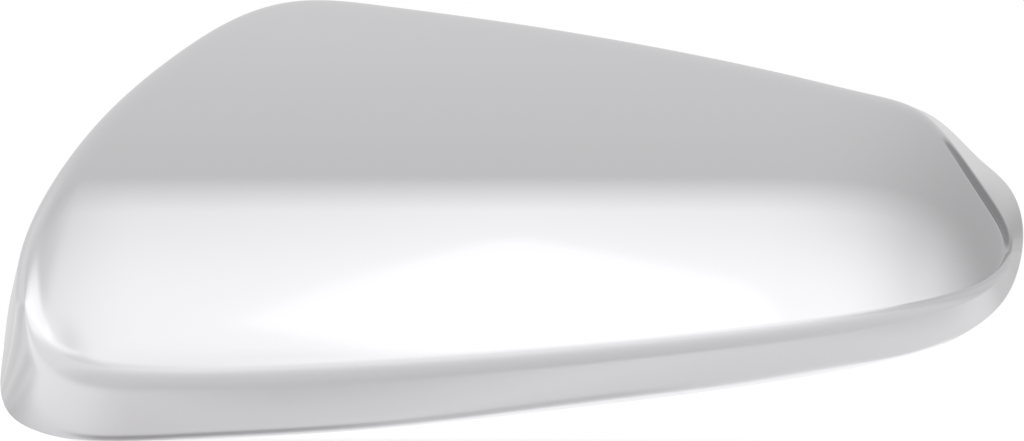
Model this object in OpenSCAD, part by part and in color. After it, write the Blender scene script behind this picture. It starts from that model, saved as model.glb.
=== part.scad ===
// A snap-on cover for the upper half of an outside wing mirror, moulded in one piece.
// X runs along the cover towards its pointed end, Z is up and Y runs back into the open side.
// The front of the cover looks along minus Y. All sizes are in millimetres.

/* [Body] */
// Length from the round outer end to the pointed inner end
body_length = 230; // [205:1:255]
// Height of the cover
body_height = 99; // [90:1:110]
// Thickness of the moulded wall
wall = 2.5; // [2:0.1:3]

/* [Face] */
// How far the face leans back over its lower part
lean_low = 17; // [12:1:20]
// How much further it leans back towards the top
lean_high = 30; // [24:1:34]
// Bow of the face from one end to the other
face_bow = 6; // [3:0.5:8]
// How far the pointed end is swept back
tip_sweep = 20; // [14:1:24]
// How far the round end is swept back
end_sweep = 5; // [2:0.5:7]

/* [Rim] */
// Depth of the rim behind the face at the bottom edge
rim_low = 16; // [14:0.5:20]
// Depth of the rim at the top edge
rim_high = 60; // [56:0.5:66]
// How much further the rim wraps back around the round end
rim_wrap = 12; // [6:0.5:16]
// Bevel on the two edges of the rim
rim_bevel = 0.6; // [0.3:0.1:0.8]

/* [Shoulder] */
// Reach of the soft shoulder between face and rim band
shoulder = 4; // [3.4:0.1:4.6]
// The same at the round end
end_shoulder = 6.6; // [5:0.1:7.5]
// The same at the pointed end
tip_shoulder = 3.2; // [3:0.1:3.6]

/* [Tip groove] */
// Depth of the tapering groove along the shoulder at the pointed end
groove_depth = 0.9; // [0.5:0.1:1.1]

/* [Ribs] */
// Height of the stiffening ribs above the inner skin
rib_height = 6; // [4:0.5:8]
// Thickness of a rib
rib_thick = 1.6; // [1.2:0.1:2]

/* [Clips] */
// Length of a snap clip behind the wall
clip_length = 17; // [14:0.5:19]
// Width of a clip
clip_width = 9; // [7:0.5:11]
// Thickness of the clip's tongue
clip_thick = 2; // [1.6:0.1:2.4]
// Height of the barb at the end of the tongue
clip_barb = 1.6; // [1:0.1:2]

/* [Pins] */
// Diameter of the two locating pins
pin_d = 4; // [3:0.5:5]
// Free length of a pin above its boss
pin_length = 10; // [8:0.5:12]
// Diameter of the boss under a pin
boss_d = 9; // [8:0.5:11]

/* [Hidden] */

// Columns of the skin between two points of an outline, and steps up the face
per_span = 4;
face_steps = 10;
// Height of the plumb line of the face, and the part of a handle used by the soft shoulder
plumb_height = 20;
handle = 0.8;
// Where the two ends begin to sweep and the rim begins to wrap, as shares of half the length
tip_sweep_from = 0.43;
end_sweep_from = 0.70;
wrap_from = 0.43;
// Where the shoulder starts and ends its change of reach towards the round and the pointed end
end_shoulder_run = [0.55, 0.95];
tip_shoulder_run = [0.6, 0.95];
// Deepest line of the groove across the shoulder, whose steps run from 1 to 2
groove_at = 1.55;
// Reach of its gentle flank towards the rim and of its steep flank towards the face
groove_gentle = 0.45;
groove_steep = 0.23;
// First and last column of the groove, counted in outline points from the tip
groove_from = 28.9;
groove_to = 32.6;

// Ribs and clips are placed by shares of half the length, and by their distance from the shoulder line
upright_ribs = [-0.62, -0.33, -0.04, 0.25, 0.54];
long_rib_z = 0.46;
long_rib_span = [-0.8, 0.78];
rib_inset = 9;
rib_points = 14;
// Share of a rib's length over which it rises at each end
rib_ramp = 0.25;
top_clips = [-0.47, 0.1, 0.42];
bottom_clips = [-0.48, -0.18, 0.4];
top_clip_inset = 14;
bottom_clip_inset = 11;
end_clips = [[-0.84, 0.4, -1], [0.77, 0.53, 1]];
end_clip_share = 0.66;
barb_ramp = 4.5;
barb_flat = 1;
pin_facets = 48;
pin_places = [[-0.475, 0.46], [0.395, 0.46]];
pin_bevel = 0.6;
// How deep, as a share of the wall, the inside pieces root in it
root = 0.6;

half_length = body_length / 2;
half_depth = (rim_high + rim_bevel) / 2;

// Pull points of the rim outline as seen from the front, from the tip along the bottom, [x, z]
rim_drawn = [
    [116.6, 48.5], [115.2, 39.1], [111.8, 31.3], [104.4, 25.1], [93.2, 19.9], [74.9, 15.9],
    [46.9, 11.5], [11.9, 7.4], [-28, 2.9], [-62, 1], [-86, 0.1], [-99, 0.2], [-107.9, 2.4],
    [-113.9, 5.9], [-115.9, 12.2], [-114.6, 21], [-113.8, 33.2], [-109.3, 46.2], [-102.2, 60.2],
    [-91.6, 73.8], [-77.6, 85.9], [-62.2, 96.3], [-47, 100.3], [-30, 98.3], [0, 94.3], [35, 88.2],
    [64, 82.1], [81.9, 77.3], [93.7, 75.4], [100.9, 69.5], [106.5, 63], [113.7, 57.8]];
// Pull points of the shoulder line, where face and rim band would meet if they weren't rounded
shoulder_drawn = [
    [112.9, 46.6], [112.3, 39.6], [107.6, 34.6], [99.1, 31.4], [88, 28.5], [70.5, 25.1], [44, 21.8],
    [10, 18.2], [-28, 15.3], [-59, 13.9], [-80, 13.2], [-91, 13.2], [-99.6, 15], [-105.6, 19.2],
    [-109.1, 25.4], [-110.6, 33], [-110.3, 42.5], [-106.5, 52.5], [-99.4, 63.9], [-89.5, 75.8],
    [-75.9, 87.2], [-61.2, 97.1], [-46, 100.8], [-29, 98.3], [1, 94.4], [35, 88.5], [62, 82.7],
    [78.9, 78.4], [91.2, 76], [98.1, 68.8], [103.3, 61.2], [108, 54]];

columns = per_span * len(rim_drawn);
rungs = columns / 2;

// Small helpers
function unit(v) = v / norm(v);
function between(a, b, s) = a + (b - a) * s;
function ease(s) = s <= 0 ? 0 : s >= 1 ? 1 : s * s * (3 - 2 * s);
function over(s) = max(0, s);
function along(s, run) = ease((s - run[0]) / (run[1] - run[0]));
function flat(rows) = [for (row = rows) each row];
function tip_share(x) = over((x / half_length - tip_sweep_from) / (1 - tip_sweep_from));
function end_share(x) = over((-x / half_length - end_sweep_from) / (1 - end_sweep_from));

// Closed smooth curve drawn by its pull points, at share u of the span after point i, and its direction
function curve(p, i, u) =
    let (n = len(p), a = p[(i + n - 1) % n], b = p[i], c = p[(i + 1) % n], d = p[(i + 2) % n])
    (a * (1 - u) ^ 3 + b * (3 * u ^ 3 - 6 * u ^ 2 + 4)
    + c * (-3 * u ^ 3 + 3 * u ^ 2 + 3 * u + 1) + d * u ^ 3) / 6;
function course(p, i, u) =
    let (n = len(p), a = p[(i + n - 1) % n], b = p[i], c = p[(i + 1) % n], d = p[(i + 2) % n])
    (-a * (1 - u) ^ 2 + b * (3 * u ^ 2 - 4 * u) + c * (-3 * u ^ 2 + 2 * u + 1) + d * u ^ 2) / 2;

// The two outlines brought to the body's length and height, with the rim's middle at x 0 and its foot at z 0
places = [for (i = [0 : len(rim_drawn) - 1]) for (s = [0 : per_span - 1]) [i, s / per_span]];
drawn_x = [for (c = places) curve(rim_drawn, c[0], c[1]).x];
drawn_z = [for (c = places) curve(rim_drawn, c[0], c[1]).y];
drawn_length = max(drawn_x) - min(drawn_x);
drawn_height = max(drawn_z) - min(drawn_z);
drawn_centre = (max(drawn_x) + min(drawn_x)) / 2;
function scaled(p) = [for (q = p)
    [(q.x - drawn_centre) * body_length / drawn_length, (q.y - min(drawn_z)) * body_height / drawn_height]];
rim_pulls = scaled(rim_drawn);
shoulder_pulls = scaled(shoulder_drawn);

// The face as a depth over x and z: a crown up its height, a bow and two swept ends along its length
function rise(z) = (z - plumb_height) / (body_height - plumb_height);
function face_y(x, z) =
    lean_low * rise(z) ^ 2 + lean_high * rise(z) ^ 4 + face_bow * (x / half_length) ^ 2
    + tip_sweep * tip_share(x) ^ 3 + end_sweep * end_share(x) ^ 3 - half_depth;
function face_grade_x(x) =
    2 * face_bow * x / half_length ^ 2
    + 3 * tip_sweep * tip_share(x) ^ 2 / half_length / (1 - tip_sweep_from)
    - 3 * end_sweep * end_share(x) ^ 2 / half_length / (1 - end_sweep_from);
function face_grade_z(z) =
    (2 * lean_low * rise(z) + 4 * lean_high * rise(z) ^ 3) / (body_height - plumb_height);
function face_point(p) = [p.x, face_y(p.x, p.y), p.y];
function face_normal(x, z) = unit([face_grade_x(x), -1, face_grade_z(z)]);
// Depth of the wall measured along Y, which grows where the face leans
function wall_y(x, z) = wall / -face_normal(x, z).y;

// Depth of the rim
function rim_y(x, z) =
    rim_low + (rim_high - rim_low) * z / body_height
    + rim_wrap * along(-x / half_length, [wrap_from, 1]) - half_depth;
function rim_point(p) = [p.x, rim_y(p.x, p.y), p.y];

// Reach of the shoulder, by place along the length
function reach(x) =
    shoulder + (end_shoulder - shoulder) * along(-x / half_length, end_shoulder_run)
    + (tip_shoulder - shoulder) * along(x / half_length, tip_shoulder_run);

// One entry for each column of the skin around the rim
rim_line = [for (c = places) curve(rim_pulls, c[0], c[1])];
corner_line = [for (c = places) curve(shoulder_pulls, c[0], c[1])];
inward = [for (c = places) let (d = unit(course(shoulder_pulls, c[0], c[1]))) [d.y, -d.x]];
rims = [for (p = rim_line) rim_point(p)];
corners = [for (p = corner_line) face_point(p)];
falls = [for (j = [0 : columns - 1]) unit(rims[j] - corners[j])];
starts = [for (j = [0 : columns - 1]) corners[j] + falls[j] * reach(corners[j].x)];
ends = [for (j = [0 : columns - 1]) face_point(corner_line[j] + inward[j] * reach(corners[j].x))];
leads = [for (j = [0 : columns - 1])
    let (e = ends[j], d = inward[j])
    unit([-d.x, -face_grade_x(e.x) * d.x - face_grade_z(e.z) * d.y, -d.y]) * norm(corners[j] - e)];

// Six handles of the soft shoulder, straight at both ends so that its shine runs on without a break
function handles(j) =
    let (a = starts[j], f = -falls[j] * reach(corners[j].x) * handle, e = ends[j], g = leads[j] * handle)
    [a, a + f / 2, a + f, e + g, e + g / 2, e];
function soft(h, s) =
    (1 - s) ^ 5 * h[0] + 5 * (1 - s) ^ 4 * s * h[1] + 10 * (1 - s) ^ 3 * s ^ 2 * h[2]
    + 10 * (1 - s) ^ 2 * s ^ 3 * h[3] + 5 * (1 - s) * s ^ 4 * h[4] + s ^ 5 * h[5];
function soft_course(h, s) =
    (1 - s) ^ 4 * (h[1] - h[0]) + 4 * (1 - s) ^ 3 * s * (h[2] - h[1])
    + 6 * (1 - s) ^ 2 * s ^ 2 * (h[3] - h[2]) + 4 * (1 - s) * s ^ 3 * (h[4] - h[3]) + s ^ 4 * (h[5] - h[4]);

// The edge of the cover in section: step 0 is the rim, 1 the start of the shoulder and 2 its end on the face
function edge(j, v) = v <= 1 ? between(rims[j], starts[j], v) : soft(handles(j), v - 1);
function edge_course(j, v) = v <= 1 ? -falls[j] : soft_course(handles(j), v - 1);
function edge_normal(j, v) =
    v >= 2 ? face_normal(ends[j].x, ends[j].z)
    : unit(cross(edge_course(j, v), edge((j + 1) % columns, v) - edge((j + columns - 1) % columns, v)));

// Groove at the tip: deepest half way, running out to a point at both ends
function groove_run(j) =
    let (t = j / per_span < len(rim_drawn) / 2 ? j / per_span + len(rim_drawn) : j / per_span)
    over(sin(180 * min(1, over((t - groove_from) / (groove_to - groove_from)))));
function groove(j, v) =
    let (s = (v - groove_at) / (v < groove_at ? groove_gentle : groove_steep))
    abs(s) >= 1 ? 0 : groove_depth * groove_run(j) * (1 + cos(180 * s)) / 2;

outer_steps = [0, 1/3, 2/3, 1, 1.1, 1.2, 1.32, 1.44, 1.55, 1.62, 1.7, 1.78, 1.89, 2];
inner_steps = [2, 1.7, 1.5, 1.3, 1, 0.5, 0];
outer_rows = [for (v = outer_steps)
    [for (j = [0 : columns - 1]) edge(j, v) - edge_normal(j, v) * groove(j, v)]];
inner_rows = [for (v = inner_steps) [for (j = [0 : columns - 1]) edge(j, v) - edge_normal(j, v) * wall]];
bevel_rows = [for (d = [wall - rim_bevel, rim_bevel])
    [for (j = [0 : columns - 1]) rims[j] + falls[j] * rim_bevel - edge_normal(j, 0) * d]];
ring_rows = concat(inner_rows, bevel_rows, outer_rows);
last_row = len(ring_rows) - 1;

// The face is a ladder of rungs from the bottom shoulder to the top one
function rung(i, k) =
    let (a = ends[i], b = ends[columns - i], s = k / face_steps) between([a.x, a.z], [b.x, b.z], s);
outer_face = [for (i = [1 : rungs - 1]) [for (k = [1 : face_steps - 1]) face_point(rung(i, k))]];
inner_face = [for (row = outer_face) [for (p = row) p - face_normal(p.x, p.z) * wall]];

// Places of the points in the list of the skin
function ring_at(r, j) = r * columns + j % columns;
function face_at(first, row, i, k) =
    k == 0 || i == 0 || i == rungs ? ring_at(row, i)
    : k == face_steps ? ring_at(row, columns - i)
    : first + (i - 1) * (face_steps - 1) + k - 1;
ring_count = len(ring_rows) * columns;
face_count = (rungs - 1) * (face_steps - 1);

function tile(a, b, c, d) = [[a, b, c], [a, c, d]];
function shape_only(t) = [for (f = t) if (f[0] != f[1] && f[1] != f[2] && f[2] != f[0]) f];
ring_tiles = [for (r = [0 : last_row - 1]) for (j = [0 : columns - 1])
    each tile(ring_at(r, j), ring_at(r, j + 1), ring_at(r + 1, j + 1), ring_at(r + 1, j))];
function ladder(first, row) = [for (i = [0 : rungs - 1]) for (k = [0 : face_steps - 1])
    each tile(face_at(first, row, i, k), face_at(first, row, i + 1, k),
        face_at(first, row, i + 1, k + 1), face_at(first, row, i, k + 1))];
function turned(t) = [for (f = t) [f[2], f[1], f[0]]];

module shell() {
    polyhedron(
        points = concat(flat(ring_rows), flat(outer_face), flat(inner_face)),
        faces = concat(
            ring_tiles,
            shape_only(ladder(ring_count, last_row)),
            turned(shape_only(ladder(ring_count + face_count, 0)))),
        convexity = 10);
}

// Height of the shoulder line at the bottom and at the top, at place x, between the two turns of the line
turn = per_span;
function bottom_z(x) = lookup(x, [for (j = [turn : rungs - turn]) [corner_line[j].x, corner_line[j].y]]);
function top_z(x) =
    lookup(x, [for (j = [rungs + turn : columns - turn]) [corner_line[j].x, corner_line[j].y]]);
function skin_y(x, z) = face_y(x, z) + wall_y(x, z);
function root_y(x, z) = face_y(x, z) + wall_y(x, z) * root;
function swell(s) = rib_height * ease(min(s, 1 - s) / rib_ramp);

// Draws in the Y-Z plane and thickens along X, centred on x
module across(x, t) translate([x - t / 2, 0, 0]) rotate([90, 0, 90]) linear_extrude(t) children();

// A rib follows the inner skin and runs out into it at both ends
module upright_rib(x) {
    low = bottom_z(x) + rib_inset;
    high = top_z(x) - rib_inset;
    shares = [for (k = [0 : rib_points]) k / rib_points];
    across(x, rib_thick) polygon(concat(
        [for (s = shares) let (z = between(low, high, s)) [root_y(x, z), z]],
        [for (k = [rib_points : -1 : 0])
            let (s = shares[k], z = between(low, high, s)) [skin_y(x, z) + swell(s), z]]));
}

module long_rib() {
    z = long_rib_z * body_height;
    span = long_rib_span * half_length;
    shares = [for (k = [0 : rib_points]) k / rib_points];
    translate([0, 0, z - rib_thick / 2]) linear_extrude(rib_thick) polygon(concat(
        [for (s = shares) let (x = between(span[0], span[1], s)) [x, root_y(x, z)]],
        [for (k = [rib_points : -1 : 0])
            let (s = shares[k], x = between(span[0], span[1], s)) [x, skin_y(x, z) + swell(s)]]));
}

// Outline of a clip: a flat tongue with a barb on its outer side, drawn from its two roots to its end
function clip_outline(near, far, end) = [
    [near, -clip_thick / 2], [end, -clip_thick / 2], [end, clip_thick / 2 - barb_flat / 2],
    [end - barb_ramp + barb_flat, clip_thick / 2 + clip_barb], [end - barb_ramp, clip_thick / 2 + clip_barb],
    [end - barb_ramp, clip_thick / 2], [far, clip_thick / 2]];

// A clip on the bottom or top side of the hollow, its barb turned down or up
module flat_clip(x, z, side) {
    outline = clip_outline(root_y(x, z - side * clip_thick / 2), root_y(x, z + side * clip_thick / 2),
        skin_y(x, z) + clip_length);
    across(x, clip_width) polygon([for (p = outline) [p.x, z + side * p.y]]);
}

// A clip at one end of the hollow, its barb turned outwards
module end_clip(x, z, side) {
    outline = clip_outline(root_y(x - side * clip_thick / 2, z), root_y(x + side * clip_thick / 2, z),
        skin_y(x, z) + clip_length);
    translate([0, 0, z - clip_width * end_clip_share / 2]) linear_extrude(clip_width * end_clip_share)
        polygon([for (p = outline) [x + side * p.y, p.x]]);
}

// A locating pin on a boss, turned as one piece and standing straight back
module locating_pin(x, z) {
    seat = skin_y(x, z) + rib_height - root_y(x, z);
    end = seat + pin_length;
    outline = [
        [0, 0], [boss_d / 2, 0], [boss_d / 2, seat], [pin_d / 2, seat],
        [pin_d / 2, end], [pin_d / 2 - pin_bevel, end + pin_bevel], [0, end + pin_bevel]];
    translate([x, root_y(x, z), z]) rotate([-90, 0, 0]) rotate_extrude($fn = pin_facets) polygon(outline);
}

module ribs() {
    for (s = upright_ribs) upright_rib(s * half_length);
    long_rib();
}

module clips() {
    for (s = bottom_clips) flat_clip(s * half_length, bottom_z(s * half_length) + bottom_clip_inset, -1);
    for (s = top_clips) flat_clip(s * half_length, top_z(s * half_length) - top_clip_inset, 1);
    for (c = end_clips) end_clip(c[0] * half_length, c[1] * body_height, c[2]);
}

module pins() {
    for (c = pin_places) locating_pin(c[0] * half_length, c[1] * body_height);
}

module cover() {
    color("gainsboro") {
        shell();
        ribs();
        clips();
        pins();
    }
}

cover();
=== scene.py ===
# %% [markdown]
# # A bright plated wing mirror cover
#
# This is the cover that snaps over the upper half of an outside mirror on a car. The real one is a
# single moulding of ABS, about 2.5 mm thick, dipped in plating baths until it is bright all over.
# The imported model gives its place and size, and this script gives it a fine skin, soft edges, a
# plated finish and a studio to shine in.
#
# A polished cover shows its studio and little else. So most of the work is in two things: a skin
# that is smooth enough to mirror cleanly, and a studio with a plain, believable order of light.

import bpy
import numpy as np
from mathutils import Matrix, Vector


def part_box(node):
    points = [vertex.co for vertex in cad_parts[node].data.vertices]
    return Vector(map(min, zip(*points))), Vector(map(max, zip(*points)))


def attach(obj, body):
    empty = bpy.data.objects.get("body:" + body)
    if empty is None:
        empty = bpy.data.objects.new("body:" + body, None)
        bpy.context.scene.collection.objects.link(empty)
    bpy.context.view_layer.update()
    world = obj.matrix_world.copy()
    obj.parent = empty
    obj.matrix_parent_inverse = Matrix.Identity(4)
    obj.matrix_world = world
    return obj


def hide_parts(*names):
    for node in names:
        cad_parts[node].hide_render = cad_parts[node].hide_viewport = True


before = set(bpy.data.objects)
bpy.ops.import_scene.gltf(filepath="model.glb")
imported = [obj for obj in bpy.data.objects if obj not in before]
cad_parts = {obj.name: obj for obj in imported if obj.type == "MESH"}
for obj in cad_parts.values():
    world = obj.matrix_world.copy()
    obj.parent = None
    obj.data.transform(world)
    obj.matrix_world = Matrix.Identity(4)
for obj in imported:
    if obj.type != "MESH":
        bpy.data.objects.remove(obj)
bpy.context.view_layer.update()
MM = 0.001
low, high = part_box("cover")
print("cover, in mm:", [round((b - a) / MM, 1) for a, b in zip(low, high)])

# %% [markdown]
# ## The camera
#
# The picture is taken level, from straight ahead, with the cover filling the frame from side to
# side. A long lens far away keeps the long body free of perspective, as a product picture has it.

# %% Place the camera
PICTURE = (1024, 441)
LENS = 400.0
SENSOR = 36.0
FILL = 0.999
EYE_DROP_MM = 0.1
FARTHEST = 50.0
VIEW_WIDTH = (high[0] - low[0]) * FILL
VIEW_HEIGHT = VIEW_WIDTH * PICTURE[1] / PICTURE[0]
EYE_HEIGHT = VIEW_HEIGHT / 2 - EYE_DROP_MM * MM
distance = VIEW_WIDTH * LENS / SENSOR

camera = bpy.data.objects.new("camera", bpy.data.cameras.new("camera"))
bpy.context.scene.collection.objects.link(camera)
camera.data.lens = LENS
camera.data.sensor_width = SENSOR
camera.data.clip_end = FARTHEST
camera.location = ((low[0] + high[0]) / 2, -distance, EYE_HEIGHT)
camera.rotation_euler = (Vector((0, 1, 0)).to_track_quat("-Z", "Y")).to_euler()
bpy.context.scene.camera = camera
print("camera distance in m:", round(distance, 2))

# %% [markdown]
# ## The outlines
#
# Seen from the front the cover has two closed outlines: the rim, where the moulding ends, and the
# shoulder line, where the face turns over into the narrow band that runs round it. Each could be a
# chain of arcs. A B-spline is quicker to draw and has no jump in curvature, which a mirror finish
# would show as a kink in every reflection. The pull points are listed from the tip along the
# bottom, round the outer end and back along the top, as [x, z] in millimetres.

# %% Draw the outlines
BODY_LENGTH = 230.0
BODY_HEIGHT = 99.0
WALL = 2.5
SPAN_STEPS = 16

RIM_DRAWN = np.array([
    [116.6, 48.5], [115.2, 39.1], [111.8, 31.3], [104.4, 25.1], [93.2, 19.9], [74.9, 15.9],
    [46.9, 11.5], [11.9, 7.4], [-28, 2.9], [-62, 1], [-86, 0.1], [-99, 0.2], [-107.9, 2.4],
    [-113.9, 5.9], [-115.9, 12.2], [-114.6, 21], [-113.8, 33.2], [-109.3, 46.2], [-102.2, 60.2],
    [-91.6, 73.8], [-77.6, 85.9], [-62.2, 96.3], [-47, 100.3], [-30, 98.3], [0, 94.3], [35, 88.2],
    [64, 82.1], [81.9, 77.3], [93.7, 75.4], [100.9, 69.5], [106.5, 63], [113.7, 57.8]])
SHOULDER_DRAWN = np.array([
    [112.9, 46.6], [112.3, 39.6], [107.6, 34.6], [99.1, 31.4], [88, 28.5], [70.5, 25.1], [44, 21.8],
    [10, 18.2], [-28, 15.3], [-59, 13.9], [-80, 13.2], [-91, 13.2], [-99.6, 15], [-105.6, 19.2],
    [-109.1, 25.4], [-110.6, 33], [-110.3, 42.5], [-106.5, 52.5], [-99.4, 63.9], [-89.5, 75.8],
    [-75.9, 87.2], [-61.2, 97.1], [-46, 100.8], [-29, 98.3], [1, 94.4], [35, 88.5], [62, 82.7],
    [78.9, 78.4], [91.2, 76], [98.1, 68.8], [103.3, 61.2], [108, 54]])


def spline(points):
    """Closed uniform cubic B-spline: each span blends four neighbours by the cubes of its share."""
    a, b, c, d = (np.roll(points, turn, axis=0)[:, None, :] for turn in (1, 0, -1, -2))
    u = (np.arange(SPAN_STEPS) / SPAN_STEPS)[None, :, None]
    place = (a * (1 - u) ** 3 + b * (3 * u**3 - 6 * u**2 + 4)
             + c * (-3 * u**3 + 3 * u**2 + 3 * u + 1) + d * u**3) / 6
    return place.reshape(-1, 2)


def unit(vectors):
    """Vectors divided by their own length."""
    return vectors / np.linalg.norm(vectors, axis=-1, keepdims=True)


rim_as_drawn = spline(RIM_DRAWN)
drawn_low, drawn_high = rim_as_drawn.min(axis=0), rim_as_drawn.max(axis=0)
drawn_scale = np.array([BODY_LENGTH, BODY_HEIGHT]) / (drawn_high - drawn_low)
drawn_zero = np.array([(drawn_low[0] + drawn_high[0]) / 2, drawn_low[1]])
rim_line = (rim_as_drawn - drawn_zero) * drawn_scale
shoulder_line = (spline(SHOULDER_DRAWN) - drawn_zero) * drawn_scale
columns = len(rim_line)
rungs = columns // 2
print("columns round the skin:", columns)

# %% [markdown]
# ## The face and the rim as depths
#
# The face is one smooth sheet over x and z. It stands plumb near its foot and leans back more and
# more towards the top, so that air flows up over it. It bows a little from end to end, and both
# ends sweep back. Sums of powers give that with no seam. Their slopes are known exactly, so the
# shading normals come from the formula and not from the facets.

# %% Write the face as a function
LEAN_LOW, LEAN_HIGH = 17.0, 30.0
FACE_BOW = 6.0
TIP_SWEEP, TIP_SWEEP_FROM = 20.0, 0.43
END_SWEEP, END_SWEEP_FROM = 5.0, 0.70
PLUMB_HEIGHT = 20.0
RIM_LOW, RIM_HIGH = 16.0, 60.0
RIM_WRAP, WRAP_FROM = 12.0, 0.43
RIM_BEVEL = 0.6
HALF_LENGTH = BODY_LENGTH / 2
HALF_DEPTH = (RIM_HIGH + RIM_BEVEL) / 2
LEAN_SPAN = BODY_HEIGHT - PLUMB_HEIGHT


def ease(share):
    """Smooth step: 0 below 0, 1 above 1, and s * s * (3 - 2 s) between."""
    s = np.clip(share, 0, 1)
    return s * s * (3 - 2 * s)


def along(share, run):
    """Smooth step over a run given by its start and its end."""
    return ease((share - run[0]) / (run[1] - run[0]))


def past(share, start):
    """How far a share is past its start, from 0 there to 1 at share 1."""
    return np.clip((share - start) / (1 - start), 0, None)


def face_y(x, z):
    """Depth of the face: two powers of height, a bow over x and a cube for each swept end."""
    rise = (z - PLUMB_HEIGHT) / LEAN_SPAN
    tip = past(x / HALF_LENGTH, TIP_SWEEP_FROM)
    end = past(-x / HALF_LENGTH, END_SWEEP_FROM)
    return (LEAN_LOW * rise**2 + LEAN_HIGH * rise**4 + FACE_BOW * (x / HALF_LENGTH) ** 2
            + TIP_SWEEP * tip**3 + END_SWEEP * end**3 - HALF_DEPTH)


def face_slopes(x, z):
    """Slopes of the depth along x and along z, by the rule for powers."""
    rise = (z - PLUMB_HEIGHT) / LEAN_SPAN
    tip = past(x / HALF_LENGTH, TIP_SWEEP_FROM)
    end = past(-x / HALF_LENGTH, END_SWEEP_FROM)
    over_x = (2 * FACE_BOW * x / HALF_LENGTH**2
              + 3 * TIP_SWEEP * tip**2 / HALF_LENGTH / (1 - TIP_SWEEP_FROM)
              - 3 * END_SWEEP * end**2 / HALF_LENGTH / (1 - END_SWEEP_FROM))
    over_z = (2 * LEAN_LOW * rise + 4 * LEAN_HIGH * rise**3) / LEAN_SPAN
    return over_x, over_z


def face_point(flat):
    """Points of the face above places [x, z]."""
    return np.stack([flat[..., 0], face_y(flat[..., 0], flat[..., 1]), flat[..., 1]], axis=-1)


def face_normal(points):
    """Outward normal of the face: its slopes against minus Y."""
    over_x, over_z = face_slopes(points[..., 0], points[..., 2])
    return unit(np.stack([over_x, -np.ones_like(over_x), over_z], axis=-1))


def skin_y(x, z):
    """Depth of the inner skin: the face plus the wall, measured along Y."""
    over_x, over_z = face_slopes(x, z)
    return face_y(x, z) + WALL * np.sqrt(1 + over_x**2 + over_z**2)


def rim_point(flat):
    """Points of the rim: its depth grows with height and wraps back at the outer end."""
    x, z = flat[..., 0], flat[..., 1]
    wrap = RIM_WRAP * along(-x / HALF_LENGTH, [WRAP_FROM, 1])
    y = RIM_LOW + (RIM_HIGH - RIM_LOW) * z / BODY_HEIGHT + wrap - HALF_DEPTH
    return np.stack([x, y, z], axis=-1)


print("depth of the face at its foot, in mm:", round(float(face_y(0.0, PLUMB_HEIGHT)), 1))

# %% [markdown]
# ## The band and its soft shoulder
#
# Between rim and face runs a narrow band. A fillet of constant radius would join them with a hard
# change of curvature, and on chrome that edge flashes. Moulders ease such a shoulder in instead.
# Here a fifth-order Bezier curve crosses it in every column, with three handles in line at each
# end, so that its curvature starts and ends at nothing.

# %% Sweep the band, shoulder and groove
SHOULDER, END_SHOULDER, TIP_SHOULDER = 4.0, 6.6, 3.2
END_SHOULDER_RUN, TIP_SHOULDER_RUN = [0.55, 0.95], [0.6, 0.95]
HANDLE = 0.8
GROOVE_DEPTH = 0.9
GROOVE_AT, GROOVE_GENTLE, GROOVE_STEEP = 1.55, 0.45, 0.23
GROOVE_FROM, GROOVE_TO = 28.9, 32.6

rims = rim_point(rim_line)
corners = face_point(shoulder_line)
course = unit(np.roll(shoulder_line, -1, axis=0) - np.roll(shoulder_line, 1, axis=0))
inward = np.stack([course[:, 1], -course[:, 0]], axis=1)
share_x = corners[:, 0] / HALF_LENGTH
reach = (SHOULDER + (END_SHOULDER - SHOULDER) * along(-share_x, END_SHOULDER_RUN)
         + (TIP_SHOULDER - SHOULDER) * along(share_x, TIP_SHOULDER_RUN))[:, None]
falls = unit(rims - corners)
starts = corners + falls * reach
ends = face_point(shoulder_line + inward * reach)
slope_x, slope_z = face_slopes(ends[:, 0], ends[:, 2])
lead_y = -slope_x * inward[:, 0] - slope_z * inward[:, 1]
leads = unit(np.stack([-inward[:, 0], lead_y, -inward[:, 1]], axis=1))
leads = leads * np.linalg.norm(corners - ends, axis=1, keepdims=True)


def section(steps):
    """Rows of the edge in section. Step 0 is the rim, 1 the start of the shoulder, 2 its end.

    Up to 1 the row runs straight from rim to start. Past 1 it is the Bezier curve of six handles,
    each weighted by its binomial term."""
    straight = [rims + (starts - rims) * v for v in steps if v < 1]
    f, g = -falls * reach * HANDLE, leads * HANDLE
    handles = [starts, starts + f / 2, starts + f, ends + g, ends + g / 2, ends]
    terms = [1, 5, 10, 10, 5, 1]
    soft = [sum(n * (2 - v) ** (5 - k) * (v - 1) ** k * h
                for k, (n, h) in enumerate(zip(terms, handles))) for v in steps if v >= 1]
    return np.array(straight + soft)


def row_normals(rows):
    """Outward normals of a grid of rows: the step up the rows crossed with the step along them."""
    onward = np.roll(rows, -1, axis=1) - np.roll(rows, 1, axis=1)
    return unit(np.cross(np.gradient(rows, axis=0), onward))


def groove(steps):
    """Depth share of the groove at the tip: half a sine along it. Across it a cosine falls gently
    from the band and climbs steeply to the face."""
    span = np.arange(columns) / SPAN_STEPS
    span = np.where(span < len(RIM_DRAWN) / 2, span + len(RIM_DRAWN), span)
    run = np.sin(np.pi * np.clip((span - GROOVE_FROM) / (GROOVE_TO - GROOVE_FROM), 0, 1))
    off = np.array(steps) - GROOVE_AT
    across = np.clip(off / np.where(off < 0, GROOVE_GENTLE, GROOVE_STEEP), -1, 1)
    return (1 + np.cos(np.pi * across))[:, None] / 2 * run[None, :]


WALL_STEPS, SOFT_STEPS = 10, 50
outer_steps = list(np.arange(WALL_STEPS) / WALL_STEPS)
outer_steps += list(1 + np.arange(SOFT_STEPS + 1) / SOFT_STEPS)
plain = section(outer_steps)
plain_normals = row_normals(plain)
plain_normals[-1] = face_normal(ends)
outer_groove = groove(outer_steps)
outer_rows = plain - plain_normals * GROOVE_DEPTH * outer_groove[..., None]
outer_normals = row_normals(outer_rows)
outer_normals[-1] = plain_normals[-1]
print("rows over band and shoulder:", len(outer_rows))

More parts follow.
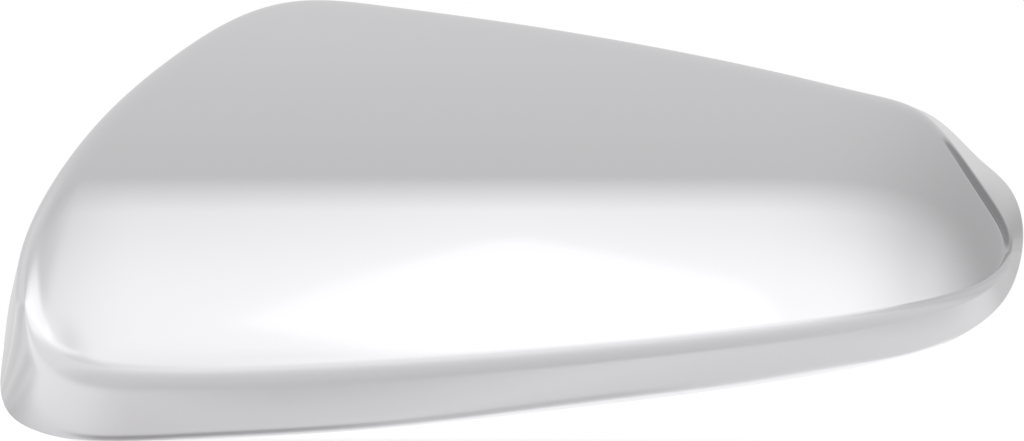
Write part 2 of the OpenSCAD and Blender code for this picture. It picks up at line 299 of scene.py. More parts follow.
# %% [markdown]
# ## The inner skin and the rounded rim
#
# Moulded walls are even, so the inner skin is the outer one moved in by the wall along its own
# normals. The two meet at the rim in small rounds, where the polisher's mop and the thick plating
# on edges soften whatever the tool left sharp.

# %% Turn the rim over and offset the inner skin
INNER_STEPS = [2, 1.9, 1.8, 1.7, 1.6, 1.5, 1.4, 1.3, 1.2, 1.1, 1, 0.75, 0.5, 0.25, 0]
ROUND_STEPS = 6
ROUND_FROM = np.radians(25)
inner_plain = section(INNER_STEPS[::-1])[::-1]
inner_out = row_normals(inner_plain[::-1])[::-1]
inner_out[0] = face_normal(ends)
inner_rows = inner_plain - inner_out * WALL
rim_out = plain_normals[0]
turn = np.linspace(ROUND_FROM, np.pi / 2, ROUND_STEPS + 1)
back = RIM_BEVEL * (np.sin(turn) - np.sin(ROUND_FROM)) / (1 - np.sin(ROUND_FROM))
drop = RIM_BEVEL * (1 - np.cos(turn) / np.cos(ROUND_FROM))
inner_round = [rims + falls * b - rim_out * (WALL - d) for b, d in zip(back[1:], drop[1:])]
outer_round = [rims + falls * b - rim_out * d for b, d in zip(back[:0:-1], drop[:0:-1])]
ring = np.concatenate([inner_rows, inner_round, outer_round, outer_rows])
ring_normals = row_normals(ring)
ring_normals[0] = -inner_out[0]
ring_normals[-len(outer_rows) + 1:] = outer_normals[1:]
first_outer = len(inner_rows) + 2 * ROUND_STEPS
inner_share = np.ones(len(ring))
inner_share[len(inner_rows):first_outer] = np.linspace(1, 0, 2 * ROUND_STEPS)
inner_share[first_outer:] = 0
print("rows from face to face round the rim:", len(ring))

# %% [markdown]
# ## The face sheet
#
# The shoulder leaves a hole of odd shape in the middle. It could be filled with one polygon, but a
# mirror needs points all over it. So rungs run like a ladder from the bottom shoulder to the top
# one, and every point on a rung is set on the face by the formula. Where rungs shrink to a point at
# the two ends, the four-sided tiles become triangles.

# %% Fill the face with rungs
FACE_STEPS = 64


def ladder(steps):
    """Flat places of the inner points of each rung: even shares from its low to its high end."""
    bottom = np.stack([ends[1:rungs, 0], ends[1:rungs, 2]], axis=1)
    top_columns = columns - np.arange(1, rungs)
    top = np.stack([ends[top_columns, 0], ends[top_columns, 2]], axis=1)
    share = (np.arange(1, steps) / steps)[None, :, None]
    return bottom[:, None, :] * (1 - share) + top[:, None, :] * share


def ladder_places(first, row_start, steps):
    """Numbers of the ladder's points: its edges are points of the ring and the rest are its own."""
    numbers = np.zeros((rungs + 1, steps + 1), dtype=int)
    numbers[1:rungs, 1:steps] = first + np.arange((rungs - 1) * (steps - 1)).reshape(rungs - 1, -1)
    numbers[:, 0] = row_start + np.arange(rungs + 1)
    numbers[:, steps] = row_start + (columns - np.arange(rungs + 1)) % columns
    numbers[0, :] = row_start
    numbers[rungs, :] = row_start + rungs
    return numbers


def tiles(numbers):
    """Four-sided faces between neighbours in a grid of point numbers."""
    return np.stack([numbers[:-1, :-1], numbers[:-1, 1:], numbers[1:, 1:], numbers[1:, :-1]],
                    axis=-1).reshape(-1, 4)


outer_face = face_point(ladder(FACE_STEPS)).reshape(-1, 3)
inner_face = outer_face - face_normal(outer_face) * WALL
ring_numbers = np.arange(ring.shape[0] * columns).reshape(-1, columns)
ring_closed = np.concatenate([ring_numbers, ring_numbers[:, :1]], axis=1)
ring_count = ring_numbers.size
skin_points = np.concatenate([ring.reshape(-1, 3), outer_face, inner_face])
skin_normals = np.concatenate([ring_normals.reshape(-1, 3), face_normal(outer_face),
                               -face_normal(outer_face)])
skin_inside = np.concatenate([np.repeat(inner_share, columns), np.zeros(len(outer_face)),
                              np.ones(len(inner_face))])
skin_groove = np.zeros(len(skin_points))
skin_groove[first_outer * columns:ring_count] = outer_groove.ravel()
outer_ladder = ladder_places(ring_count, ring_numbers[-1, 0], FACE_STEPS)
inner_ladder = ladder_places(ring_count + len(outer_face), 0, FACE_STEPS)
skin_tiles = np.concatenate([tiles(ring_closed)[:, ::-1], tiles(outer_ladder),
                             tiles(inner_ladder)[:, ::-1]])
print("points of the skin:", len(skin_points))

# %% [markdown]
# ## Ribs, clips and pins
#
# Behind the face such a cover has thin ribs that keep it stiff, tongues with barbs that snap behind
# the edge of the housing, and two locating pins on bosses. Each is a profile carried along a path,
# with a small round on its free edges and a flare where it grows out of the wall, as the tool has.
# They sink into the wall a little, so no gap shows at their roots.

# %% Carry a profile along a path
ROOT = 0.6
EDGE_ROUND = 0.35
CURVE_STEPS = 5
features = []


def carried(grid, name):
    """Closes a grid of rings (path, profile, xyz) into a shell with a flat cap at each end."""
    path, around = grid.shape[:2]
    numbers = np.arange(path * around).reshape(path, around)
    sides = tiles(np.concatenate([numbers, numbers[:, :1]], axis=1))
    faces = [list(f) for f in sides] + [list(numbers[0][::-1]), list(numbers[-1])]
    points = grid.reshape(-1, 3)
    a, b, c, d = (points[sides[:, k]] for k in range(4))
    centre = points.mean(axis=0)
    swept = np.einsum("ij,ij->i", np.cross(c - a, d - b), (a + b + c + d) / 4 - centre).sum()
    if swept < 0:
        faces = [f[::-1] for f in faces]
    features.append((points, faces))
    print(f"{name}: {len(points)} points")


def rounded(corner_points, radii):
    """Replaces each corner of a closed outline by a short curve that starts its radius away."""
    points = np.array(corner_points, dtype=float)
    radii = np.array(radii, dtype=float)[:, None]
    before = points + unit(np.roll(points, 1, axis=0) - points) * radii
    after = points + unit(np.roll(points, -1, axis=0) - points) * radii
    u = np.linspace(0, 1, CURVE_STEPS)[None, :, None]
    curve = (before[:, None] * (1 - u) ** 2 + points[:, None] * 2 * u * (1 - u)
             + after[:, None] * u**2)
    return curve.reshape(-1, 2)


print("roots in the wall, in mm:", ROOT * WALL)

# %% [markdown]
# A rib's section is a blade with a round top and a flared foot. Its height swells from nothing at
# both ends, which lie just under the skin, and its foot follows the inner skin, side by side.

# %% Make the ribs
RIB_HEIGHT, RIB_THICK, RIB_FLARE = 6.0, 1.6, 0.9
RIB_RAMP = 0.25
RIB_END_DEEP = 0.3
RIB_INSET = 9.0
UPRIGHT_RIBS = [-0.62, -0.33, -0.04, 0.25, 0.54]
LONG_RIB_Z = 0.46
LONG_RIB_SPAN = [-0.8, 0.78]
RIB_PATH = 60
RIB_QUARTER = 7
END_COLUMNS = 4


def rib_section(height):
    """Half widths and heights up one side of a rib: foot, flared round, flank and round top."""
    q = np.linspace(0, np.pi / 2, RIB_QUARTER)[None, :]
    flare = np.minimum(RIB_FLARE, height / 2)[:, None]
    crown = np.minimum(RIB_THICK / 2, height / 2)[:, None]
    tall = height[:, None]
    foot_w = RIB_THICK / 2 + flare
    width = np.concatenate([foot_w, RIB_THICK / 2 + flare * (1 - np.sin(q)),
                            RIB_THICK / 2 - crown * (1 - np.cos(q))], axis=1)
    level = np.concatenate([-ROOT * WALL + 0 * tall, flare * (1 - np.cos(q)),
                            tall - crown * (1 - np.sin(q))], axis=1)
    return width, level


def rib(axis, place, start, end, name):
    """Carries the section along x or z. Every point stands its own height above the skin."""
    share = np.linspace(0, 1, RIB_PATH)
    run = start + (end - start) * share
    swell = ease(np.minimum(share, 1 - share) / RIB_RAMP)
    width, level = rib_section(RIB_HEIGHT * swell)
    level = level - RIB_END_DEEP * (1 - swell)[:, None]
    side = np.concatenate([width, -width[:, ::-1]], axis=1) + place
    rise = np.concatenate([level, level[:, ::-1]], axis=1)
    forward = np.repeat(run[:, None], side.shape[1], axis=1)
    x, z = (forward, side) if axis == "x" else (side, forward)
    carried(np.stack([x, skin_y(x, z) + rise, z], axis=-1), name)


def shoulder_height(x, side):
    """Height of the shoulder line at x: on the bottom side -1 or the top side 1. The few columns
    where the line turns back at the two ends are left out."""
    first, last = (0, rungs) if side < 0 else (rungs, columns)
    half = shoulder_line[first + END_COLUMNS:last - END_COLUMNS]
    order = np.argsort(half[:, 0])
    return np.interp(x, half[order, 0], half[order, 1])


for number, share in enumerate(UPRIGHT_RIBS):
    rib_x = share * HALF_LENGTH
    foot = shoulder_height(rib_x, -1) + RIB_INSET
    head = shoulder_height(rib_x, 1) - RIB_INSET
    rib("z", rib_x, foot, head, f"upright rib {number}")
long_from, long_to = (share * HALF_LENGTH for share in LONG_RIB_SPAN)
rib("x", LONG_RIB_Z * BODY_HEIGHT, long_from, long_to, "long rib")

# %% [markdown]
# A clip's outline is drawn from the side: a tongue out of the wall and a barb with a long ramp. It
# is carried across the clip's width, and the first and last steps draw in by a quarter round so
# that the edges catch light.

# %% Make the clips
CLIP_LENGTH, CLIP_WIDTH, CLIP_THICK, CLIP_BARB = 17.0, 9.0, 2.0, 1.6
BARB_RAMP, BARB_FLAT = 4.5, 1.0
CLIP_FLARE = 1.0
CLIP_QUARTER = 4
TINY = 1e-9
TOP_CLIPS, TOP_CLIP_INSET = [-0.47, 0.1, 0.42], 14.0
BOTTOM_CLIPS, BOTTOM_CLIP_INSET = [-0.48, -0.18, 0.4], 11.0
END_CLIPS = [[-0.84, 0.4, -1], [0.77, 0.53, 1]]
END_CLIP_SHARE = 0.66


def clip_outline(near, far, end):
    """Corners of a clip as [depth, height towards the barb] and the radius of each."""
    half, sunk = CLIP_THICK / 2, ROOT * WALL
    corner_points = [
        [near - sunk, -half - CLIP_FLARE], [near - EDGE_ROUND, -half - CLIP_FLARE],
        [near, -half], [end, -half], [end, half - BARB_FLAT / 2],
        [end - BARB_RAMP + BARB_FLAT, half + CLIP_BARB], [end - BARB_RAMP, half + CLIP_BARB],
        [end - BARB_RAMP, half], [far, half],
        [far - EDGE_ROUND, half + CLIP_FLARE], [far - sunk, half + CLIP_FLARE]]
    return rounded(corner_points, [0, 0, CLIP_FLARE] + 5 * [EDGE_ROUND] + [CLIP_FLARE, 0, 0])


def drawn_in(outline, amount):
    """Moves each point of an outline inwards by an amount, square to its two neighbours."""
    step = unit(np.roll(outline, -1, axis=0) - np.roll(outline, 1, axis=0) + TINY)
    square = np.stack([-step[:, 1], step[:, 0]], axis=1)
    return outline + square * amount


def clip(x, z, side, across, width, name):
    """Carries the outline across the clip's width. The barb points to the side, up, down or out.
    Each step has its own feet, so the clip follows the skin."""
    end, half = skin_y(x, z) + CLIP_LENGTH, side * CLIP_THICK / 2
    q = np.linspace(0, np.pi / 2, CLIP_QUARTER)
    inset = EDGE_ROUND * (1 - np.sin(q))
    place = -width / 2 + EDGE_ROUND * (1 - np.cos(q))
    grid = []
    for over, amount in zip(np.append(place, -place[::-1]), np.append(inset, inset[::-1])):
        if across == "x":
            near, far = skin_y(x + over, z - half), skin_y(x + over, z + half)
        else:
            near, far = skin_y(x - half, z + over), skin_y(x + half, z + over)
        flat = drawn_in(clip_outline(near, far, end), amount)
        row, barb = np.full(len(flat), over), side * flat[:, 1]
        over_x, over_z = (row, barb) if across == "x" else (barb, row)
        grid.append(np.stack([x + over_x, flat[:, 0], z + over_z], axis=1))
    carried(np.array(grid), name)


for share in BOTTOM_CLIPS:
    clip_x = share * HALF_LENGTH
    clip_z = shoulder_height(clip_x, -1) + BOTTOM_CLIP_INSET
    clip(clip_x, clip_z, -1, "x", CLIP_WIDTH, "bottom clip")
for share in TOP_CLIPS:
    clip_x = share * HALF_LENGTH
    clip_z = shoulder_height(clip_x, 1) - TOP_CLIP_INSET
    clip(clip_x, clip_z, 1, "x", CLIP_WIDTH, "top clip")
for share_along, share_up, side in END_CLIPS:
    clip_x, clip_z = share_along * HALF_LENGTH, share_up * BODY_HEIGHT
    clip(clip_x, clip_z, side, "z", CLIP_WIDTH * END_CLIP_SHARE, "end clip")

# %% [markdown]
# A pin and its boss are one turned form. Its outline is carried round the pin's axis, and the foot
# of the boss flares out and follows the skin it stands on.

# %% Turn the pins
PIN_D, PIN_LENGTH, PIN_BEVEL, BOSS_D = 4.0, 10.0, 0.6, 9.0
PIN_PLACES = [[-0.475, 0.46], [0.395, 0.46]]
TURN_STEPS = 64
PIN_QUARTER = 6


def pin(x, z):
    """Radius and height along the turned outline. Below the flare the height is above the skin."""
    q = np.linspace(0, np.pi / 2, PIN_QUARTER)
    boss, shaft = BOSS_D / 2, PIN_D / 2
    seat = RIB_HEIGHT
    end = seat + PIN_LENGTH
    radius = np.concatenate([
        [boss + RIB_FLARE], boss + RIB_FLARE * (1 - np.sin(q)), boss - EDGE_ROUND * (1 - np.cos(q)),
        shaft + EDGE_ROUND * (1 - np.sin(q)), [shaft],
        shaft - PIN_BEVEL * (1 - np.cos(q)), [(shaft - PIN_BEVEL) / 2]])
    level = np.concatenate([
        [-ROOT * WALL], RIB_FLARE * (1 - np.cos(q)), seat - EDGE_ROUND * (1 - np.sin(q)),
        seat + EDGE_ROUND * (1 - np.cos(q)), [end],
        end + PIN_BEVEL * np.sin(q), [end + PIN_BEVEL]])
    turn = np.linspace(0, 2 * np.pi, TURN_STEPS, endpoint=False)[None, :]
    px = x + radius[:, None] * np.cos(turn)
    pz = z + radius[:, None] * np.sin(turn)
    on_skin = 1 - ease(level / RIB_HEIGHT)[:, None]
    py = skin_y(px, pz) * on_skin + skin_y(x, z) * (1 - on_skin) + level[:, None]
    carried(np.stack([px, py, pz], axis=-1), "pin")


for share_along, share_up in PIN_PLACES:
    pin(share_along * HALF_LENGTH, share_up * BODY_HEIGHT)

# %% [markdown]
# ## One mesh
#
# The real cover is one piece, so skin, ribs, clips and pins go into one mesh. The skin's normals
# are set from the formulas. The small forms keep the normals that Blender works out. An attribute
# called inside tells the finish where the surface faces the housing, and one called groove how
# deep it lies in the groove.

# %% Put the cover together
points = [skin_points]
faces = [list(t) for t in skin_tiles if len(set(t)) == 4]
faces += [list(dict.fromkeys(t)) for t in skin_tiles if len(set(t)) == 3]
offset = len(skin_points)
for feature_points, feature_faces in features:
    points.append(feature_points)
    faces += [[offset + k for k in f] for f in feature_faces]
    offset += len(feature_points)
points = np.concatenate(points)
normals = np.zeros_like(points)
normals[:len(skin_points)] = skin_normals
inside = np.ones(len(points))
inside[:len(skin_points)] = skin_inside
in_groove = np.zeros(len(points))
in_groove[:len(skin_points)] = skin_groove

mesh = bpy.data.meshes.new("cover_shell")
mesh.from_pydata(points * MM, [], faces)
mesh.polygons.foreach_set("use_smooth", np.ones(len(mesh.polygons), dtype=bool))
mesh.update()
for name, values in (("inside", inside), ("groove", in_groove)):
    mesh.attributes.new(name, "FLOAT", "POINT").data.foreach_set("value", values.astype(np.float32))
mesh.normals_split_custom_set_from_vertices(normals.tolist())
cover = bpy.data.objects.new("cover_shell", mesh)
bpy.context.scene.collection.objects.link(cover)
mesh.calc_loop_triangles()
print("triangles:", len(mesh.loop_triangles))

# %% [markdown]
# ## The finish
#
# The baths leave copper, nickel and at last a thin layer of chromium on the ABS. Outside, over a
# polished tool, it is a bright mirror with a faint veil and the gentlest waviness from the
# moulding. Inside the tool is only spark-eroded and the baths throw less metal there, so the same
# plating looks matt and a shade darker. The groove is a recess too: the mop doesn't reach its
# floor, so it is rougher, and its colour is darkened as painted shade for the shade that falls in
# it. A metal needs only its colour and its roughness to be right.

# %% Small helpers for colours and nodes
SOFT, EVEN = "SMOOTHSTEP", "LINEAR"


def linear(sheet_colour):
    """Turns an sRGB hex value into a linear colour, channel by channel, with an alpha of 1."""
    channels = [int(sheet_colour[k:k + 2], 16) / 255 for k in (1, 3, 5)]
    return [c / 12.92 if c <= 0.04045 else ((c + 0.055) / 1.055) ** 2.4 for c in channels] + [1.0]


def add(tree, kind, inputs=None, **settings):
    """Adds a node, sets its properties, and fills each input with a value or a link."""
    node = tree.nodes.new(kind)
    for name, value in settings.items():
        setattr(node, name, value)
    for name, value in (inputs or {}).items():
        if isinstance(value, bpy.types.NodeSocket):
            tree.links.new(value, node.inputs[name])
        else:
            node.inputs[name].default_value = value
    return node


def light_of(tree, parts):
    """Sum of named parts. Each is a strength times its slopes. A slope names the value it runs
    over and its kind, where it starts and ends, and what it holds up to the start and past the
    end."""
    total = 0.0
    for part, slopes in parts.values():
        for value, kind, start, end, at_start, at_end in slopes:
            span = {"Value": value, "From Min": start, "From Max": end,
                    "To Min": at_start, "To Max": at_end}
            slope = add(tree, "ShaderNodeMapRange", span, interpolation_type=kind)
            part = add(tree, "ShaderNodeMath", {0: part, 1: slope.outputs[0]},
                       operation="MULTIPLY").outputs[0]
        total = add(tree, "ShaderNodeMath", {0: total, 1: part}, operation="ADD").outputs[0]
    return total


print("kinds of slope:", SOFT, "and", EVEN)

# %% Find where the surface is bright, matt or in the groove
PLATING = "#E5E4E6"
PLATING_INSIDE = "#CBCBCA"
# Painted shade: the groove's colour is darker for the shade that falls in it.
GROOVE_PAINTED_SHADE = "#ADADAF"
VEIL, DULL = (0.07, 0.10), (0.34, 0.44)
GROOVE_ROUGHNESS = 0.24
GROOVE_FULL = 0.3
PATCH_MM, PATCH_DETAIL, PATCH_SPAN = 40.0, 3.0, (0.3, 0.7)

bright_chrome = bpy.data.materials.new("bright_satin_chrome_on_abs")
bright_chrome.use_nodes = True
tree = bright_chrome.node_tree
tree.nodes.clear()
place = add(tree, "ShaderNodeTexCoord").outputs["Object"]
inner = add(tree, "ShaderNodeAttribute", attribute_name="inside").outputs["Fac"]
recess = add(tree, "ShaderNodeAttribute", attribute_name="groove").outputs["Fac"]
recess = add(tree, "ShaderNodeMapRange", {"Value": recess, "From Max": GROOVE_FULL},
             interpolation_type=SOFT).outputs[0]
patches = add(tree, "ShaderNodeTexNoise",
              {"Vector": place, "Scale": 1 / (PATCH_MM * MM), "Detail": PATCH_DETAIL}).outputs["Fac"]
veil, dull = (add(tree, "ShaderNodeMapRange",
                  {"Value": patches, "From Min": PATCH_SPAN[0], "From Max": PATCH_SPAN[1],
                   "To Min": span[0], "To Max": span[1]}).outputs[0] for span in (VEIL, DULL))
print("roughness outside and inside:", VEIL, DULL)

# %% Mix the plated finish
WAVE_MM, WAVE_DETAIL, WAVE_DEEP_MM = 5.0, 1.0, 0.002
GRAIN_MM, GRAIN_DETAIL, GRAIN_DEEP_MM = 0.7, 4.0, 0.03

roughness = add(tree, "ShaderNodeMix", {0: inner, 2: veil, 3: dull})
roughness = add(tree, "ShaderNodeMix", {0: recess, 2: roughness.outputs[0], 3: GROOVE_ROUGHNESS})
colour = add(tree, "ShaderNodeMix", {0: inner, 6: linear(PLATING), 7: linear(PLATING_INSIDE)},
             data_type="RGBA")
# The groove's darker colour is painted shade.
colour = add(tree, "ShaderNodeMix", {0: recess, 6: colour.outputs[2], 7: linear(GROOVE_PAINTED_SHADE)},
             data_type="RGBA")
waves = add(tree, "ShaderNodeTexNoise",
            {"Vector": place, "Scale": 1 / (WAVE_MM * MM), "Detail": WAVE_DETAIL})
grain = add(tree, "ShaderNodeTexNoise",
            {"Vector": place, "Scale": 1 / (GRAIN_MM * MM), "Detail": GRAIN_DETAIL})
grain = add(tree, "ShaderNodeMath", {0: grain.outputs["Fac"], 1: inner}, operation="MULTIPLY")
wavy = add(tree, "ShaderNodeBump",
           {"Height": waves.outputs["Fac"], "Distance": WAVE_DEEP_MM * MM})
grainy = add(tree, "ShaderNodeBump",
             {"Height": grain.outputs[0], "Distance": GRAIN_DEEP_MM * MM,
              "Normal": wavy.outputs[0]})
finish = add(tree, "ShaderNodeBsdfPrincipled",
             {"Base Color": colour.outputs[2], "Roughness": roughness.outputs[0],
              "Normal": grainy.outputs[0], "Metallic": 1.0})
add(tree, "ShaderNodeOutputMaterial", {"Surface": finish.outputs[0]})
mesh.materials.append(bright_chrome)
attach(cover, "root")
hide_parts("cover")
print("finish:", bright_chrome.name)

# %% [markdown]
# ## The floor
#
# A wide pale table carries the cover. It takes the soft shadow, and a glow lifts it to white for
# the camera, so the picture keeps its white ground. The band and the shoulder mirror the table,
# so for them the table glows with a picture of its own, a pattern of painted light and painted
# shade. One even paint would do for a dull part.

# %% Lay the floor
FLOOR_HALF = 2.0
FLOOR_DROP_MM = 0.3

floor_mesh = bpy.data.meshes.new("floor")
floor_corners = [[x * FLOOR_HALF, y * FLOOR_HALF, -FLOOR_DROP_MM * MM]
                 for x, y in ((-1, -1), (1, -1), (1, 1), (-1, 1))]
floor_mesh.from_pydata(floor_corners, [], [[0, 1, 2, 3]])
floor = bpy.data.objects.new("floor", floor_mesh)
bpy.context.scene.collection.objects.link(floor)
print("the table is", 2 * FLOOR_HALF, "m wide")

# %% [markdown]
# Besides its own x and y the table has five drawn coordinates, all in metres. Two bow back with
# the square of how far x is past a start: edge follows the front of the shoulder, and rim follows
# the rim above it and wraps round the outer end as the rim does. The other three are sums of x and
# y that run slantwise: left and front near the outer end, and right towards the tip.

# %% Draw the coordinates of the table
BOW_FROM, BOW_SHARE = -0.02, 1.67
RIM_FROM, RIM_SHARE = -0.08, 0.75
LEFT_TURN, FRONT_TURN = -1.2, -0.36

pale_table = bpy.data.materials.new("pale_table")
pale_table.use_nodes = True
tree = pale_table.node_tree
tree.nodes.clear()
place = add(tree, "ShaderNodeTexCoord").outputs["Object"]
place = add(tree, "ShaderNodeSeparateXYZ", {0: place})
table_x, table_y = place.outputs["X"], place.outputs["Y"]
bowed = []
for bow_from, bow_share in ((BOW_FROM, BOW_SHARE), (RIM_FROM, RIM_SHARE)):
    bow = add(tree, "ShaderNodeMath", {0: table_x, 1: bow_from}, operation="SUBTRACT").outputs[0]
    bow = add(tree, "ShaderNodeMath", {0: bow, 1: 0.0}, operation="MAXIMUM").outputs[0]
    bow = add(tree, "ShaderNodeMath", {0: bow, 1: bow}, operation="MULTIPLY").outputs[0]
    bow = add(tree, "ShaderNodeMath", {0: bow, 1: -bow_share, 2: table_y}, operation="MULTIPLY_ADD")
    bowed.append(bow.outputs[0])
edge, rim = bowed
wrap = add(tree, "ShaderNodeMapRange",
           {"Value": table_x, "From Min": -WRAP_FROM * HALF_LENGTH * MM,
            "From Max": -HALF_LENGTH * MM, "To Max": RIM_WRAP * MM}, interpolation_type=SOFT)
rim = add(tree, "ShaderNodeMath", {0: rim, 1: wrap.outputs[0]}, operation="SUBTRACT").outputs[0]
left = add(tree, "ShaderNodeMath", {0: table_x, 1: LEFT_TURN, 2: table_y},
           operation="MULTIPLY_ADD").outputs[0]
front = add(tree, "ShaderNodeMath", {0: table_y, 1: FRONT_TURN, 2: table_x},
            operation="MULTIPLY_ADD").outputs[0]
right = add(tree, "ShaderNodeMath", {0: table_x, 1: table_y}, operation="ADD").outputs[0]
print("coordinates of the table: x, y, edge, rim, left, front and right")

# %% [markdown]
# The glow on the table that mirror rays see is a sum of parts of painted light and painted shade.
# It is bright under the cover's front, dim in a strip of painted shade along it, and bright again
# farther out. Round the outer end small parts paint a pool of light and a shade at the corner.
# A painted shadow line with a painted bright strip behind it follows the rim. They draw the thin
# line along the cover's lower edge.

# %% Sum the painted glow of the table
TABLE = {
    "all over": (0.13, [(table_x, SOFT, 0.15, 0.35, 1, 0.5)]),
    "under the front": (0.21, [(edge, SOFT, -0.012, 0.02, 1, 0),
                               (table_x, SOFT, 0.125, 0.185, 1, 0)]),
    "shade": (-0.13, [(edge, SOFT, -0.027, -0.017, 1, 0), (table_x, SOFT, -0.125, -0.1, 0, 1),
                      (table_x, SOFT, 0.14, 0.2, 1, 0)]),
    "farther out": (0.20, [(edge, SOFT, -0.12, -0.03, 1, 0), (table_x, SOFT, -0.125, -0.1, 0, 1),
                           (right, SOFT, -0.15, 0.15, 1, 0)]),
    "far away": (0.20, [(edge, SOFT, -0.55, -0.05, 1, 0), (right, SOFT, -0.15, 0.15, 1, 0)]),
    "on the left": (0.26, [(table_x, SOFT, -0.3, -0.14, 1, 0),
                           (table_y, SOFT, -0.09, -0.03, 1, 0), (left, SOFT, -0.08, 0.12, 0, 1)]),
    "behind on the left": (0.12, [(table_x, SOFT, -0.175, -0.14, 1, 0),
                                  (table_y, SOFT, -0.03, 0.02, 0, 1),
                                  (table_y, SOFT, 0.03, 0.12, 1, 0.2)]),
    "far behind": (0.1, [(table_x, SOFT, -0.5, -0.1, 1, 0), (table_y, SOFT, 0.2, 0.8, 0, 1)]),
    "shade on the left": (-0.1, [(front, SOFT, -0.13, -0.112, 0, 1),
                                 (front, SOFT, -0.1, -0.06, 1, 0),
                                 (table_y, SOFT, -0.13, -0.09, 1, 0)]),
    # Painted pool of light at the corner.
    "corner": (0.09, [(table_x, SOFT, -0.1, -0.085, 1, 0), (table_y, SOFT, -0.03, -0.015, 0, 1),
                      (table_y, SOFT, -0.007, -0.001, 1, 0)]),
    # Painted shade past the corner.
    "painted shade past the corner": (-0.11, [(table_x, SOFT, -0.133, -0.122, 0, 1),
                                (table_x, SOFT, -0.118, -0.106, 1, 0),
                                (table_y, SOFT, -0.006, 0.002, 0, 1),
                                (table_y, SOFT, 0.008, 0.03, 1, 0)]),
    # Painted shadow line along the rim, with painted light behind it.
    "painted shadow at the rim": (-0.33, [(rim, SOFT, -0.0159, -0.015, 0, 1),
                                (rim, SOFT, -0.0149, -0.0141, 1, 0),
                                (table_x, SOFT, -0.104, -0.093, 0, 1),
                                (table_x, SOFT, -0.045, -0.02, 1, 0.5),
                                (table_x, SOFT, 0.02, 0.05, 1, 0)]),
    "behind the rim": (0.4, [(rim, SOFT, -0.0144, -0.0134, 0, 1), (rim, SOFT, 0.0, 0.02, 1, 0),
                             (table_x, SOFT, -0.1, -0.088, 0, 1),
                             (table_x, SOFT, 0.1, 0.12, 1, 0)])}
# What mirror rays see on the table: painted light and shade, held at zero or above.
painted_table_reflection = add(tree, "ShaderNodeMath", {0: light_of(tree, TABLE), 1: 0.0},
               operation="MAXIMUM").outputs[0]
print("parts of the table's glow:", ", ".join(TABLE))

# %% Paint the table
FLOOR_PAINT = "#E7E7E7"
CAMERA_GLOW = 0.58

paths = add(tree, "ShaderNodeLightPath")
strength = 0.0
for path, level in (("Is Camera Ray", CAMERA_GLOW), ("Is Transmission Ray", CAMERA_GLOW),
                    ("Is Glossy Ray", painted_table_reflection)):
    part = add(tree, "ShaderNodeMath", {0: paths.outputs[path], 1: level}, operation="MULTIPLY")
    strength = add(tree, "ShaderNodeMath", {0: part.outputs[0], 1: strength},
                   operation="ADD").outputs[0]
paint = add(tree, "ShaderNodeBsdfDiffuse", {"Color": linear(FLOOR_PAINT)})
glow = add(tree, "ShaderNodeEmission", {"Color": linear("#FFFFFF"), "Strength": strength})
both = add(tree, "ShaderNodeAddShader", {0: paint.outputs[0], 1: glow.outputs[0]})
add(tree, "ShaderNodeOutputMaterial", {"Surface": both.outputs[0]})
floor_mesh.materials.append(pale_table)
print("floor:", pale_table.name)

# %% [markdown]
# ## The studio
#
# The room round the table is written as light by direction. It could be built from cards and area
# lamps, but a sum of slopes has no edges or noise, and each part keeps its own plain numbers. The
# height angle runs from 0 straight towards the camera over 90 overhead to 180 behind the cover.
# The side angle runs from -90 on the left to 90 on the right. Two slanted angles take a share of
# the height from the side angle or add it, so that a part can lean inwards or outwards.
#
# The ceiling is a calm grey. Below about 43 degrees the wall behind the camera glows brighter and
# brighter, which draws the horizon across the face. A low glow lies along the foot of the wall,
# and another one on the right lights the tip. A strip stands on the far left and edges the round
# end with light, with a little shade beside it. Behind on the right is a dark corner.

# %% Find the angles
FALL, RISE = 0.42, 0.6

world = bpy.data.worlds.new("studio")
bpy.context.scene.world = world
world.use_nodes = True
tree = world.node_tree
tree.nodes.clear()
direction = add(tree, "ShaderNodeTexCoord").outputs["Generated"]
direction = add(tree, "ShaderNodeSeparateXYZ", {0: direction})
toward = add(tree, "ShaderNodeMath", {0: direction.outputs["Y"], 1: -1.0}, operation="MULTIPLY")
up = add(tree, "ShaderNodeMath", {0: direction.outputs["Z"]}, operation="ABSOLUTE")
height = add(tree, "ShaderNodeMath", {0: up.outputs[0], 1: toward.outputs[0]}, operation="ARCTAN2")
height = add(tree, "ShaderNodeMath", {0: height.outputs[0]}, operation="DEGREES").outputs[0]
sideways = add(tree, "ShaderNodeMath", {0: direction.outputs["X"]}, operation="ARCSINE")
sideways = add(tree, "ShaderNodeMath", {0: sideways.outputs[0]}, operation="DEGREES").outputs[0]
falling, rising = (add(tree, "ShaderNodeMath", {0: height, 1: slant, 2: sideways},
                       operation="MULTIPLY_ADD").outputs[0] for slant in (-FALL, RISE))
print("angles of the studio: height, sideways, falling and rising")

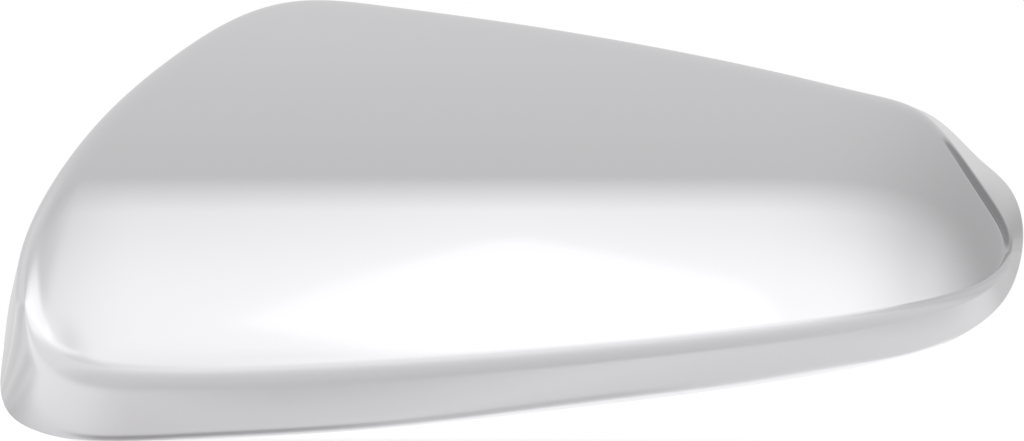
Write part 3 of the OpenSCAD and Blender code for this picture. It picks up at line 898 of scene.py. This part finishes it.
# %% Sum the parts of the room
ROOM = {
    "ceiling": (1.0, [(height, EVEN, 45, 125, 0.665, 0.75), (sideways, SOFT, 5, 75, 1, 0.74),
                      (sideways, SOFT, -62, -38, 1.1, 1)]),
    "wall": (0.44, [(height, EVEN, 30, 43.5, 1, 0), (sideways, EVEN, 0, 70, 1, 0),
                    (sideways, EVEN, -36, 0, 0.2, 1), (falling, SOFT, -41, -35, 0.45, 1)]),
    "low glow": (0.15, [(height, SOFT, 2, 34, 1, 0), (sideways, SOFT, 0, 30, 1, 2.1),
                        (sideways, SOFT, 38, 80, 1, 0), (sideways, SOFT, -40, -5, 1.5, 1),
                        (falling, SOFT, -41, -35, 0.45, 1)]),
    "right glow": (0.12, [(height, SOFT, 12, 42, 1, 0), (sideways, SOFT, 42, 58, 0, 1),
                          (sideways, SOFT, 68, 80, 1, 0)]),
    "strip": (0.42, [(height, SOFT, 4, 31, 1, 0), (rising, SOFT, -38, -28, 1, 0)]),
    "shade by the strip": (-0.15, [(height, SOFT, 0, 6, 1, 0), (rising, SOFT, -29, -25, 0, 1),
                                   (rising, SOFT, -24, -18, 1, 0)]),
    "dark corner": (-0.19, [(height, SOFT, 155, 172, 0, 1), (height, SOFT, 173, 180, 1, 0.5),
                            (sideways, SOFT, 18, 33, 0, 1)])}

room = light_of(tree, ROOM)
print("parts of the room:", ", ".join(ROOM))

# %% [markdown]
# One lamp is hard: a kite-shaped bright card low before the cover. Its share is how far a
# direction lies towards the kite's nearest corners, summed over both angles, and 1 is its edge.
# Each angle has the card's middle and how far it reaches above and below that, in degrees.

# %% Hang the bright card
CARD_LIGHT = 0.12
CARD_EDGE = (0.95, 1.03)
CARD = ((sideways, 0.0, 10.5, -7.8), (height, 3.5, 18.5, -6.8))

share = 0.0
for angle, middle, above, below in CARD:
    off = add(tree, "ShaderNodeMath", {0: angle, 1: middle}, operation="SUBTRACT").outputs[0]
    one = add(tree, "ShaderNodeMath", {0: off, 1: above}, operation="DIVIDE").outputs[0]
    other = add(tree, "ShaderNodeMath", {0: off, 1: below}, operation="DIVIDE").outputs[0]
    part = add(tree, "ShaderNodeMath", {0: one, 1: other}, operation="MAXIMUM").outputs[0]
    share = add(tree, "ShaderNodeMath", {0: share, 1: part}, operation="ADD").outputs[0]
card = add(tree, "ShaderNodeMapRange",
           {"Value": share, "From Min": CARD_EDGE[0], "From Max": CARD_EDGE[1],
            "To Min": CARD_LIGHT, "To Max": 0.0}, interpolation_type=SOFT)
room = add(tree, "ShaderNodeMath", {0: room, 1: card.outputs[0]}, operation="ADD").outputs[0]
print("the card is", CARD_LIGHT, "brighter than the wall behind it")

# %% [markdown]
# The camera itself sees plain white past the table, as on a paper backdrop.

# %% Close the room
paths = add(tree, "ShaderNodeLightPath")
light = add(tree, "ShaderNodeMix", {0: paths.outputs["Is Camera Ray"], 2: room, 3: 1.0})
background = add(tree, "ShaderNodeBackground",
                 {"Color": linear("#FFFFFF"), "Strength": light.outputs[0]})
add(tree, "ShaderNodeOutputWorld", {"Surface": background.outputs[0]})
print("world:", world.name)

# %% [markdown]
# ## Finish
#
# The standard view shows colours as written.

# %% Set the view and close
bpy.context.scene.view_settings.view_transform = "Standard"
